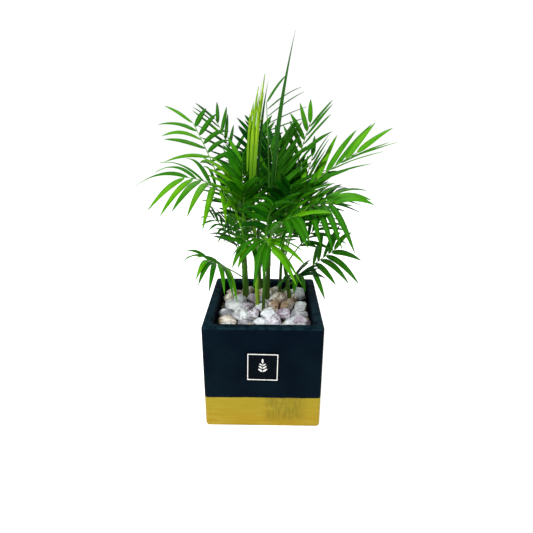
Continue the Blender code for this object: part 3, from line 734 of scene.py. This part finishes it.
# %% The fronds
BOTH, OPENING = (1, -1), (1,)
Frond = namedtuple(
    "Frond",
    "stem leaves_at tip lean straight roll bare pairs leaflet width sweep droop level sides",
    defaults=(0, BOTH),
)
FRONDS = {
    "frond_left_low": Frond("thick", 184, (-82, -10, 259), 5, 0.7, -26, 0.42, 7, 63, 7.0, 84, 0.54),
    "frond_right_front": Frond("slanting", 170, (72, -12, 234), 8, 0.75, 32, 0.42, 6, 58, 7.5, 75, 0.5),
    "frond_left_top": Frond("thick", 180, (-84, 68, 311), 20, 0.5, -12, 0.56, 6, 50, 6.5, 84, 0.42, 0.3),
    "frond_right_high": Frond("middle", 190, (96, 5, 284), 25, 0.5, 30, 0.38, 7, 54, 7.5, 52, 0.15, 0.2),
    "frond_right_top": Frond("right", 180, (51, 60, 312), 5, 0.5, 0, 0.50, 7, 44, 6.0, 62, 0.20, 0.2),
    "frond_right_low": Frond("right", 116, (71, -5, 178), 40, 0.5, 40, 0.55, 5, 48, 7.0, 65, 0.45),
    "frond_left_foot": Frond("thick", 138, (-60, -10, 172), 50, 0.55, -15, 0.42, 6, 44, 6.5, 72, 0.75),
    "frond_front": Frond("bright", 170, (8, -38, 193), 15, 0.8, 0, 0.45, 5, 38, 7.5, 75, 0.65),
    "frond_opening": Frond(
        "middle", 197, (1, 40, 336), 0, 0.5, 0, 0.74, 5, 46, 4.0, 72, 0.25, 0.9, OPENING
    ),
    "frond_behind": Frond("back", 189, (-9, 72, 300), 5, 0.5, 0, 0.45, 7, 38, 6.0, 70, 0.20, 0.2),
    "frond_left_fine": Frond("thick", 165, (-57, 14, 213), 20, 0.5, -30, 0.5, 5, 28, 3.5, 70, 0.5, 0.5),
    "frond_left_back": Frond("back", 180, (-62, 95, 314), 15, 0.5, 0, 0.50, 7, 42, 5.0, 60, 0.20, 0.3),
    "frond_front_left": Frond("slim", 168, (-24, -20, 194), 15, 0.6, -20, 0.45, 5, 34, 6.5, 70, 0.60),
    "frond_middle": Frond("middle", 180, (17, 62, 292), 5, 0.5, 0, 0.40, 8, 42, 7.0, 55, 0.10, 0.1),
    "frond_right_mid": Frond("slanting", 166, (52, 35, 278), 15, 0.5, 20, 0.35, 8, 46, 8, 60, 0.2, 0.2),
    "frond_right_inner": Frond("slanting", 156, (64, 26, 203), 30, 0.5, 30, 0.4, 6, 40, 5, 60, 0.35, 0.3),
    "frond_left_inner": Frond("bright", 200, (-38, 30, 262), 10, 0.5, -20, 0.35, 7, 42, 6, 60, 0.25, 0.2),
    "frond_front_right": Frond("slim", 178, (34, -30, 226), 10, 0.6, 20, 0.4, 6, 44, 7.5, 65, 0.5),
    "frond_front_middle": Frond("slim", 183, (10, -28, 238), 5, 0.6, 0, 0.35, 6, 38, 7.0, 65, 0.4),
    "frond_inner_left": Frond("bright", 188, (-32, -10, 238), 10, 0.5, -20, 0.4, 6, 42, 6.5, 65, 0.4),
    "frond_back_right": Frond("right", 170, (48, 98, 242), 20, 0.5, 0, 0.40, 7, 48, 7.0, 65, 0.30, 0.1),
    "frond_back_middle": Frond("back", 176, (-2, 114, 250), 20, 0.5, 0, 0.40, 7, 48, 7.0, 65, 0.3, 0.1),
    "frond_back_left": Frond("back", 170, (-50, 92, 228), 20, 0.5, 0, 0.40, 7, 46, 7.0, 65, 0.3, 0.1),
    "frond_back_low": Frond("back", 140, (20, 98, 178), 35, 0.5, 0, 0.45, 6, 44, 6.5, 65, 0.40),
    "frond_back_corner": Frond("thick", 145, (-34, 96, 190), 30, 0.5, 0, 0.45, 6, 40, 6.5, 65, 0.35),
    "frond_back_far": Frond("middle", 176, (84, 62, 228), 25, 0.5, 15, 0.40, 7, 46, 6.5, 65, 0.35),
    "frond_heart_left": Frond("thick", 180, (-20, -6, 250), 8, 0.5, 0, 0.35, 6, 36, 7.0, 60, 0.3),
    "frond_heart_right": Frond("slanting", 177, (28, -4, 250), 5, 0.5, 0, 0.35, 6, 40, 7.0, 60, 0.3),
    "frond_heart_back": Frond("right", 185, (20, 84, 264), 8, 0.5, 0, 0.35, 6, 42, 7.0, 60, 0.2),
    "frond_core_left": Frond("thick", 187, (-24, 20, 276), 5, 0.5, 0, 0.30, 8, 38, 6.0, 60, 0.2, 0.2),
    "frond_core_low": Frond("thick", 158, (-38, 0, 212), 15, 0.5, -10, 0.35, 6, 38, 6.0, 65, 0.4),
    "frond_core_front": Frond("middle", 170, (14, -6, 226), 8, 0.5, 0, 0.35, 6, 38, 6.5, 60, 0.35),
    "frond_core_right": Frond("right", 150, (48, 46, 236), 15, 0.5, 10, 0.35, 7, 38, 6.0, 60, 0.3),
    "frond_core_tall": Frond("right", 172, (2, 50, 286), 4, 0.5, 0, 0.40, 8, 38, 6.0, 60, 0.2, 0.2),
    "frond_core_back": Frond("back", 160, (-38, 46, 240), 12, 0.5, 0, 0.35, 7, 38, 6.0, 60, 0.3),
    "frond_core_deep": Frond("slanting", 136, (42, 0, 150), 45, 0.5, 10, 0.30, 6, 36, 6.5, 65, 0.45),
}
STALK_WIDTH = 2.6
RIB_WIDTH = 1.3
STALK_THICKNESS = 1.6
ROLL_DONE = 0.67
SWEEP_LEFT_AT_TIP = 0.42
LEAF_LIFT = 14
LEAF_FORWARD_BEND = 0.10
SWEEP_SPREAD, LIFT_SPREAD, TWIST_SPREAD = 6, 9, 12
LENGTH_SPREAD, DROOP_SPREAD = 0.08, 0.35
LEAF_TRIES = (
    (0, 1), (10, 1), (-10, 1), (18, 0.9), (-18, 0.9), (0, 0.75), (30, 0.75), (-30, 0.75), (8, 0.6)
)
SWINGS = (0, 5, -5, 10, -10, 15, -15, 20, -20)

# %% The rule for a rib and a leaflet


class Rib:
    """The curve of a frond's stalk and rib, with the frame of its face along it."""

    def __init__(self, frond, swing=0):
        stem, radius = stem_at(STEMS[frond.stem], frond.leaves_at)
        away = Vector(frond.tip) * MM - stem
        away.rotate(Matrix.Rotation(math.radians(swing), 3, "Z"))
        self.heading = Vector((away.x, away.y, 0)).normalized()
        if frond.leaves_at > STEMS[frond.stem].top:
            self.start = stem
        else:
            self.start = stem + self.heading * (radius + GAP + STALK_THICKNESS * MM / 2)
        self.end = stem + away
        lean = math.radians(frond.lean)
        reach = frond.straight * (self.end - self.start).length
        self.knee = self.start + (self.heading * math.sin(lean) + UP * math.cos(lean)) * reach
        self.roll = math.radians(frond.roll)

    def point(self, share):
        rest = 1 - share
        return self.start * rest**2 + self.knee * 2 * share * rest + self.end * share**2

    def frame(self, share):
        """Unit vectors along the rib, to its right and out of its upper face."""
        along = (self.knee - self.start) * (1 - share) + (self.end - self.knee) * share
        along.normalize()
        right = Vector((self.heading.y, -self.heading.x, 0))
        right.rotate(Matrix.Rotation(self.roll * min(1, share / ROLL_DONE), 3, along))
        return along, right, right.cross(along)


class Leaflet:
    """One leaflet: where it grows from the rib, and the curve that it follows."""

    def __init__(self, frond, rib, number, pair, side, lift=0, length_share=1):
        spread = (pair + (0.25 if side > 0 else 0.75)) / frond.pairs
        self.share = frond.bare + (1 - frond.bare) * min(1, spread)
        along, right, face = rib.frame(self.share)
        sweep = frond.sweep * (1 - (1 - SWEEP_LEFT_AT_TIP) * spread)
        sweep = math.radians(sweep + SWEEP_SPREAD * wobble(number, pair, side))
        up = math.radians(LEAF_LIFT + lift + LIFT_SPREAD * wobble(pair, number, side))
        out = right * side * math.cos(up) + face * math.sin(up)
        self.heading = along * math.cos(sweep) + out * math.sin(sweep)
        profile = 0.72 + 0.4 * math.sin(math.pi * min(1, 0.15 + 0.85 * spread))
        profile *= 1 + LENGTH_SPREAD * wobble(side, pair, number)
        self.length = frond.leaflet * MM * min(1.08, profile) * length_share
        self.droop = frond.droop * (1 + DROOP_SPREAD * wobble(pair, side, number))
        self.width = frond.width * MM * (0.85 + 0.15 * length_share)
        across = (along - self.heading * along.dot(self.heading)).normalized()
        upward = (UP - self.heading * UP.dot(self.heading)).normalized()
        normal = self.heading.cross(across) * side
        normal = (normal.lerp(upward, frond.level)).normalized()
        self.across = normal.cross(self.heading) * side
        tilt = math.radians(TWIST_SPREAD * wobble(number + 3, side, pair))
        self.across.rotate(Matrix.Rotation(tilt, 3, self.heading))
        self.bend = along * LEAF_FORWARD_BEND
        self.root = rib.point(self.share) + right * side * RIB_WIDTH * MM / 2

    def point(self, share):
        curve = self.bend - UP * self.droop
        return self.root + (self.heading * share + curve * share**2) * self.length

    def frame(self, share):
        along = (self.heading + (self.bend - UP * self.droop) * 2 * share).normalized()
        across = (self.across - along * along.dot(self.across)).normalized()
        return along, across


# %% [markdown]
# ## Which choice each solid made
#
# Where two leaflets would have touched, the solid's rule turned one of them a little. The
# solid's own points show which turn it took: a leaflet that is there has a point at its tip.

# %% Reading the choices
TIP_MISS = 0.7 * MM


def tip_tree(name):
    points = nodes[name].data.vertices
    tree = KDTree(len(points))
    for vert in points:
        tree.insert(vert.co, vert.index)
    tree.balance()
    return tree


def has_tip(tree, leaflet):
    return tree.find(leaflet.point(1))[2] < TIP_MISS


def grown_leaflets(number, name, frond):
    """The rib and the leaflets that the solid has, each with its pair and side."""
    tree = tip_tree(name)
    places = [(pair, side) for pair in range(frond.pairs) for side in frond.sides]

    def matches(swing):
        rib = Rib(frond, swing)
        return sum(has_tip(tree, Leaflet(frond, rib, number, *place)) for place in places)

    rib = Rib(frond, max(SWINGS, key=matches))
    grown = []
    for pair, side in places:
        for lift, length_share in LEAF_TRIES:
            leaflet = Leaflet(frond, rib, number, pair, side, lift, length_share)
            if has_tip(tree, leaflet):
                grown.append((pair, side, leaflet))
                break
    return rib, grown


# %% [markdown]
# ## One leaflet
#
# A leaflet is a long blade, pinched where it joins the rib, widest before its middle and
# drawn out to a fine tip. It is folded along its midrib like a low roof, its edges wave a
# little, and it twists on its way out. A flat grid holds the blade, each leaflet takes a
# copy, and its points are moved to where the leaflet's curve says.

# %% The blade
BLADE_COLUMNS, BLADE_ROWS = 6, 18
BLADE_THICKNESS = 0.34 * MM
ROOT_PINCH, PINCH_FADE = 0.72, 11
TIP_POWER = 3.1
FOLD = math.radians(17)
FOLD_LOST_AT_TIP = 0.5
BLADE_TWIST = 20
WAVE_HEIGHT, WAVES = 0.05, 9


def flat_blade():
    bm = bmesh.new()
    bm.loops.layers.uv.new("leaf")
    bmesh.ops.create_grid(
        bm, x_segments=BLADE_COLUMNS, y_segments=BLADE_ROWS, size=1, calc_uvs=True
    )
    mesh = bpy.data.meshes.new("flat blade")
    bm.to_mesh(mesh)
    bm.free()
    return mesh


def blade_width(share):
    """The share of the full width that the blade has, from its pinched root to its tip."""
    root = 1 - ROOT_PINCH * math.exp(-share * PINCH_FADE)
    return root * max(0.0, 1 - share**TIP_POWER) ** 0.95


def add_blade(bm, template, leaflet, seed, tone):
    """Adds a copy of the flat blade, bent along its leaflet, with this tone's finish."""
    first = len(bm.verts)
    first_face = len(bm.faces)
    bm.from_mesh(template)
    bm.verts.ensure_lookup_table()
    bm.faces.ensure_lookup_table()
    twist = math.radians(BLADE_TWIST * wobble(seed, 31))
    for vert in bm.verts[first:]:
        side, share = vert.co.x, (vert.co.y + 1) / 2
        along, across = leaflet.frame(share)
        across.rotate(Matrix.Rotation(twist * share * share, 3, along))
        face = across.cross(along)
        if face.z < 0:
            face.negate()
        half = leaflet.width / 2 * blade_width(share)
        wave = math.sin(WAVES * share + 5 * wobble(seed, 7) + side) * WAVE_HEIGHT
        drop = math.sin(FOLD) * (1 - FOLD_LOST_AT_TIP * share)
        place = across * side * math.cos(FOLD) + face * abs(side) * (wave - drop)
        vert.co = leaflet.point(share) + place * half
    for blade_face in bm.faces[first_face:]:
        blade_face.material_index = tone


# %% [markdown]
# ## Leaf finishes
#
# A leaflet shows fine lines along its length, a paler midrib and a soft gloss, and light shines through
# it. The lines follow the blade's own UV map. The tone is a plain base colour, dealt out leaflet by
# leaflet. The deep and dark tones are painted shade in the crown's heart, core and back, and the bright
# and fresh tones are partly the paler leaves' own colour, partly painted light on the lit outer fronds.

# %% The leaf finishes
Tone = namedtuple("Tone", "body pale glow rough")
TONES = {
    # From bright to dark these are lit and shaded copies of one green: the deep and dark tones are
    # painted shade, and the bright and fresh ones partly painted light.
    "bright": Tone((0.066, 0.330, 0.000), (0.205, 0.540, 0.004), (0.210, 0.720, 0.000), 0.34),
    "paler_and_lit": Tone((0.032, 0.235, 0.000), (0.110, 0.400, 0.004), (0.115, 0.520, 0.000), 0.32),
    "mid": Tone((0.012, 0.150, 0.000), (0.048, 0.290, 0.003), (0.050, 0.360, 0.000), 0.30),
    "deep": Tone((0.002, 0.080, 0.000), (0.016, 0.180, 0.005), (0.015, 0.200, 0.000), 0.28),
    "dark": Tone((0.000, 0.036, 0.000), (0.005, 0.115, 0.008), (0.006, 0.120, 0.000), 0.24),
}
LINES = 9


def leaf_finish(name, tone):
    look = Finish(name + " leaf")
    blade = look.node("ShaderNodeUVMap", {"uv_map": "leaf"})
    across, along, _ = blade.parts()
    lines = (across * (2 * math.pi * LINES)).cosine()
    midrib = 1 - abs(across - 0.5).step(0.012, 0.055)
    edge = abs(across - 0.5).step(0.40, 0.50)
    patches = look.noise(55, 4)
    colour = look.mix(patches.step(0.35, 0.75) * 0.55, tone.body, tone.pale)
    colour = look.mix(lines.step(0.2, 1.0) * 0.20, colour, tone.pale)
    colour = look.mix(midrib * 0.55 + edge * 0.18, colour, tone.pale)
    root = 1 - along.step(0.0, 0.10)
    colour = look.mix(root * 0.5, colour, tone.pale)
    dry = along.step(0.955, 1.0) * look.noise(30, 2, offset=(5, 5, 5)).step(0.5, 0.62)
    colour = look.mix(dry * 0.8, colour, (0.25, 0.15, 0.05))
    bump = lines * 0.5 + midrib * 0.8 + look.noise(300, 3) * 0.4
    rough = tone.rough + patches * 0.14
    return look.surface(colour, rough, bump, 0.10 * MM, through=0.22, glow=tone.glow, gloss=0.13)


def under_finish():
    look = Finish("leaf underside")
    across = look.node("ShaderNodeUVMap", {"uv_map": "leaf"}).parts()[0]
    lines = (across * (2 * math.pi * LINES)).cosine()
    midrib = 1 - abs(across - 0.5).step(0.015, 0.07)
    colour = look.mix(lines.step(0.0, 1.0) * 0.35, (0.018, 0.160, 0.000), (0.048, 0.250, 0.004))
    colour = look.mix(midrib * 0.6, colour, (0.120, 0.350, 0.030))
    return look.surface(colour, 0.55, lines * 0.5 + midrib, 0.10 * MM, through=0.22,
                        glow=(0.070, 0.400, 0.000), gloss=0.1)


def rib_finish():
    look = Finish("leaf stalk")
    streaks = look.noise(200, 3, stretch=(1, 1, 0.4))
    colour = look.mix(streaks.step(0.35, 0.7), (0.060, 0.215, 0.014), (0.130, 0.345, 0.035))
    return look.surface(colour, 0.42, streaks, 0.15 * MM, gloss=0.3)


leaf_looks = [leaf_finish(name, tone) for name, tone in TONES.items()]
under_look = under_finish()
rib_look = rib_finish()
print("leaf finishes:", len(leaf_looks) + 2)

# %% [markdown]
# ## The fronds
#
# Each frond is its stalk and rib, one tapering oval rod, with its blades. The blades are thin sheets at
# first. A Solidify modifier makes them closed and gives the underside its own finish. Inner and back
# fronds take darker tones as painted shade, and some get a narrower leaflet between each two.

# %% The tones, and building the fronds
# Painted shade: the inner, core and back fronds take the deep and dark tones. The bright and fresh tones
# on the outer fronds are partly painted light.
FROND_TONES = {
    "bright": "left_low left_top front right_high inner_left left_inner",
    "paler_and_lit": "right_front right_top left_foot left_fine front_left front_right",
    "deep": "heart_right right_inner behind opening back_left back_right core_front",
    "dark": "core_low core_right core_tall core_back core_deep heart_back back_far",
}
FILLED = "middle heart_left heart_right heart_back core_left core_right core_tall behind"
SLOTS = {"bright": "leaf_bright", "paler_and_lit": "leaf_bright", "mid": "leaf_mid",
         "deep": "leaf_dark", "dark": "leaf_dark"}
UNDER = len(leaf_looks)
frond_looks = leaf_looks + [under_look] * UNDER + [rib_look]
TONE_SHIFT = 0.95
BETWEEN_LIFT, BETWEEN_LENGTH, BETWEEN_WIDTH = 6, 0.86, 0.75
TAPER_END = 0.6
STALK_FLARE, TIP_NARROWING = 0.25, 0.45


def tone_of(short):
    """The tone that lists a frond, or else mid."""
    return next((tone for tone, names in FROND_TONES.items() if short in names.split()), "mid")


def blades(number, frond, rib, grown, tone, filled):
    """A mesh of every blade of a frond, still without thickness."""
    bm = bmesh.new()
    bm.loops.layers.uv.new("leaf")
    base = list(TONES).index(tone)
    for pair, side, leaflet in grown:
        seed = number * 100 + pair * 2 + (side > 0)
        shift = round(TONE_SHIFT * wobble(seed, 3))
        add_blade(bm, blade_template, leaflet, seed, max(0, min(UNDER - 1, base + shift)))
        # Each narrower leaflet between two is one tone darker, as painted shade.
        if filled and pair + 1 < frond.pairs:
            between = Leaflet(
                frond, rib, number, pair + 0.5, side, BETWEEN_LIFT, BETWEEN_LENGTH
            )
            between.width *= BETWEEN_WIDTH
            add_blade(bm, blade_template, between, seed + 50, min(UNDER - 1, base + 1))
    return bm


def thickened(bm):
    """The same blades, closed by a Solidify modifier that is applied at once."""
    mesh = bpy.data.meshes.new("blades")
    bm.to_mesh(mesh)
    bm.free()
    sheet = bpy.data.objects.new("blades", mesh)
    for look in frond_looks:
        mesh.materials.append(look)
    bpy.context.scene.collection.objects.link(sheet)
    solid = sheet.modifiers.new("thickness", "SOLIDIFY")
    solid.thickness = BLADE_THICKNESS
    solid.offset = 0
    solid.material_offset = UNDER
    graph = bpy.context.evaluated_depsgraph_get()
    closed = bmesh.new()
    closed.from_mesh(sheet.evaluated_get(graph).to_mesh())
    bpy.data.objects.remove(sheet)
    bpy.data.meshes.remove(mesh)
    return closed


def add_stalk(bm, rib, last):
    """The stalk and rib in one rod, as far as the last leaflet."""

    def place(share, x, y):
        share *= last
        _, right, face = rib.frame(share)
        taper = min(1, share / TAPER_END)
        narrow = 1 - TIP_NARROWING * max(0, share - TAPER_END) / (1 - TAPER_END)
        wide = blend(STALK_WIDTH, RIB_WIDTH, taper) * narrow
        thick = blend(STALK_THICKNESS, RIB_WIDTH, taper) * narrow
        wide *= 1 + STALK_FLARE * math.exp(-share * 30)
        return rib.point(share) + (right * x * wide + face * y * thick) * MM / 2

    first_face = len(bm.faces)
    add_rod(bm, place, sides=10, rings=44)
    bm.faces.ensure_lookup_table()
    for face in bm.faces[first_face:]:
        face.material_index = 2 * UNDER


blade_template = flat_blade()
count = 0
for number, (name, frond) in enumerate(FRONDS.items()):
    short = name.removeprefix("frond_")
    rib, grown = grown_leaflets(number, name, frond)
    tone = tone_of(short)
    bm = thickened(blades(number, frond, rib, grown, tone, short in FILLED.split()))
    add_stalk(bm, rib, max(leaflet.share for _, _, leaflet in grown))
    add_piece("leaf_" + short, bm, frond_looks, SLOTS[tone], [name])
    count += len(grown)
    wanted = frond.pairs * len(frond.sides)
    if len(grown) < wanted:
        print(name, "has", len(grown), "of", wanted, "leaflets")
print("fronds:", len(FRONDS), "leaflets:", count)

# %% [markdown]
# ## Floor, light and camera
#
# A pale floor and large soft lights, as in a studio. The camera stands a little above the
# plant's middle and looks slightly down, where the photographer's did.

# %% Floor and lights
FLOOR_SIDE = 12
FLOOR_GLOW = 0.62
ROOM_LIGHT = 0.42
floor_mesh = bmesh.new()
bmesh.ops.create_grid(floor_mesh, x_segments=1, y_segments=1, size=FLOOR_SIDE / 2)
floor_data = bpy.data.meshes.new("floor")
floor_mesh.to_mesh(floor_data)
floor_mesh.free()
floor_object = bpy.data.objects.new("floor", floor_data)
bpy.context.scene.collection.objects.link(floor_object)
paper = Finish("white paper")
floor_look = paper.surface((0.97, 0.97, 0.97), 1.0, gloss=0)
shader = floor_look.node_tree.nodes["Principled BSDF"]
shader.inputs["Emission Color"].default_value = (1, 1, 1, 1)
shader.inputs["Emission Strength"].default_value = FLOOR_GLOW
floor_data.materials.append(floor_look)


MIDDLE = Vector((0, 0, 0.22))
Lamp = namedtuple("Lamp", "place size power colour")
LAMPS = {
    "key": Lamp((-0.55, -0.75, 1.10), 0.45, 16.5, (1.0, 0.99, 0.97)),
    "fill": Lamp((0.95, -0.70, 0.60), 0.9, 3.5, (0.96, 0.98, 1.0)),
    "back": Lamp((0.20, 0.95, 0.90), 0.8, 4, (1, 1, 1)),
}
for name, lamp in LAMPS.items():
    light = bpy.data.lights.new(name, "AREA")
    light.shape = "DISK"
    light.size = lamp.size
    light.energy = lamp.power
    light.color = lamp.colour
    light_object = bpy.data.objects.new(name, light)
    light_object.location = lamp.place
    towards = MIDDLE - light_object.location
    light_object.rotation_euler = towards.to_track_quat("-Z", "Y").to_euler()
    bpy.context.scene.collection.objects.link(light_object)

# %% The white room
world = bpy.data.worlds.new("studio")
world.use_nodes = True
sky = world.node_tree
background = sky.nodes["Background"]
background.inputs["Color"].default_value = (1, 1, 1, 1)
seen = sky.nodes.new("ShaderNodeLightPath")
strength = sky.nodes.new("ShaderNodeMapRange")
strength.inputs["To Min"].default_value = ROOM_LIGHT
strength.inputs["To Max"].default_value = 1.0
sky.links.new(seen.outputs["Is Camera Ray"], strength.inputs["Value"])
sky.links.new(strength.outputs["Result"], background.inputs["Strength"])
bpy.context.scene.world = world
bpy.context.scene.view_settings.view_transform = "Standard"

# %% The camera
SENSOR = 36
PICTURE = 533
FOCAL_PIXELS = 397.91
CENTRE = (267.26, 241.64)
CAMERA_PLACE = Vector((0.00815, -0.40292, 0.32429))
YAW, PITCH, ROLL = (math.radians(angle) for angle in (-0.683, 18.54, 0.283))
camera_data = bpy.data.cameras.new("camera")
camera_data.sensor_width = SENSOR
camera_data.lens = FOCAL_PIXELS / PICTURE * SENSOR
camera_data.shift_x = (PICTURE / 2 - CENTRE[0]) / PICTURE
camera_data.shift_y = (CENTRE[1] - PICTURE / 2) / PICTURE
camera_data.clip_start = 0.01
ahead = Vector((math.sin(YAW) * math.cos(PITCH), math.cos(YAW) * math.cos(PITCH),
                -math.sin(PITCH)))
right = Vector((math.cos(YAW), -math.sin(YAW), 0))
upward = right.cross(ahead)
turned_right = right * math.cos(ROLL) + upward * math.sin(ROLL)
turned_up = upward * math.cos(ROLL) - right * math.sin(ROLL)
turn = Matrix((turned_right, turned_up, -ahead)).transposed().to_4x4()
camera = bpy.data.objects.new("camera", camera_data)
camera.matrix_world = Matrix.Translation(CAMERA_PLACE) @ turn
bpy.context.scene.collection.objects.link(camera)
bpy.context.scene.camera = camera
print("lens", round(camera_data.lens, 2), "mm")
